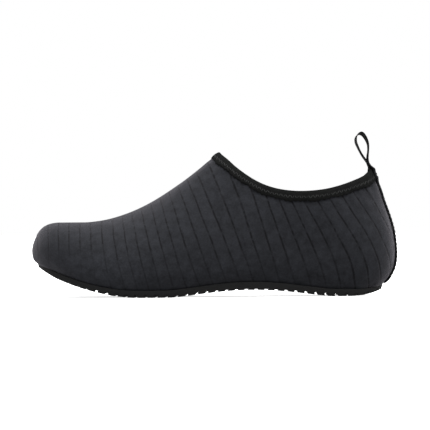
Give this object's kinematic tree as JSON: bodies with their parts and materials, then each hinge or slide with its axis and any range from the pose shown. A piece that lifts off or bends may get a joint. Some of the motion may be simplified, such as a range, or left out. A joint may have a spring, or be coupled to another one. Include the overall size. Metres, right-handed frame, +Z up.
{
  "type": "water shoe",
  "caption": "Left slip-on water shoe with a stretch fabric upper, bound collar, heel pull loop and thin lugged rubber outsole.",
  "frame": {"origin": "centre of the shoe's footprint on the floor that it stands on", "axes": "+Z up, +X from toe to heel, +Y towards the inner side of the foot"},
  "size_m": [0.2611, 0.0952, 0.1181],
  "materials": {
    "outsole_rubber": "matte, moulded with a fine grain",
    "upper_stretch_fabric": "brushed stretch fabric with thin dark stripes",
    "insole_fabric": "matte knitted cover over foam",
    "collar_elastic": "ribbed elastic, zigzag stitched",
    "pull_tape_webbing": "flat woven webbing with a slight sheen"
  },
  "bodies": {
    "root": {"outsole": "outsole_rubber", "upper": "upper_stretch_fabric", "insole": "insole_fabric", "collar_binding": "collar_elastic", "heel_pull_tape": "pull_tape_webbing"}
  },
  "joints": []
}
